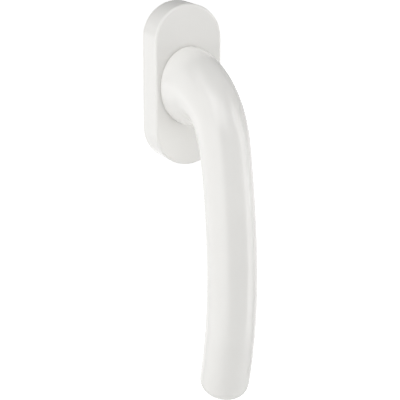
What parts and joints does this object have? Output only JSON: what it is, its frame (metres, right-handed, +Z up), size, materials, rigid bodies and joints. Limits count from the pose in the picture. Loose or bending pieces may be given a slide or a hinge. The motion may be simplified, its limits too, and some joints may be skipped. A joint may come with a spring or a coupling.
{
  "type": "window handle",
  "caption": "Window handle for a tilt-and-turn sash: a bowed round lever on an obround rose, turning a square spindle through detents.",
  "frame": {"origin": "on the spindle's axis, in the back plane of the rose where it meets the sash", "axes": "+Z up, -Y out of the sash towards the hand, +Y into the sash along the spindle, +X across; the lever points down at rest"},
  "size_m": [0.0308, 0.0915, 0.1639],
  "materials": {
    "polyamide_white": "satin moulded",
    "zinc_die_cast": "die-cast zinc alloy, as cast",
    "steel_zinc_plated": "zinc plated",
    "spring_steel": "drawn spring steel",
    "steel_blackened": "blackened steel",
    "steel_bright": "bright steel",
    "acetal_white": "moulded acetal"
  },
  "bodies": {
    "rose": {"base_plate": "zinc_die_cast", "rose_cover": "polyamide_white", "detent_keeper": "steel_zinc_plated", "bearing_bush": "acetal_white", "slide_ring": "acetal_white", "fixing_screw_upper": "steel_zinc_plated", "fixing_screw_lower": "steel_zinc_plated", "detent_spring_upper": "spring_steel", "detent_spring_lower": "spring_steel"},
    "handle": {"grip": "polyamide_white", "steel_core": "steel_bright", "neck_socket": "zinc_die_cast", "core_pin": "spring_steel", "grub_screw": "steel_blackened", "spindle": "steel_zinc_plated", "detent_rotor": "zinc_die_cast", "spindle_pin": "spring_steel", "retaining_ring": "steel_blackened", "shim_washer": "steel_bright"},
    "ball_upper": {"detent_ball_upper": "steel_bright"},
    "ball_lower": {"detent_ball_lower": "steel_bright"}
  },
  "joints": [
    {"name": "handle_turn", "type": "hinge", "parent": "rose", "child": "handle", "pos_m": [0, 0, 0], "axis": [0, -1, 0], "range_deg": [0, 180]},
    {"name": "ball_upper_slide", "type": "slide", "parent": "rose", "child": "ball_upper", "axis": [0, 0, -1], "range_m": [0, 0.0006], "stiffness_N_per_m": 2000, "springref_m": 0.0006, "deforming": ["detent_spring_upper"]},
    {"name": "ball_lower_slide", "type": "slide", "parent": "rose", "child": "ball_lower", "axis": [0, 0, 1], "range_m": [0, 0.0006], "stiffness_N_per_m": 2000, "springref_m": 0.0006, "deforming": ["detent_spring_lower"]}
  ]
}
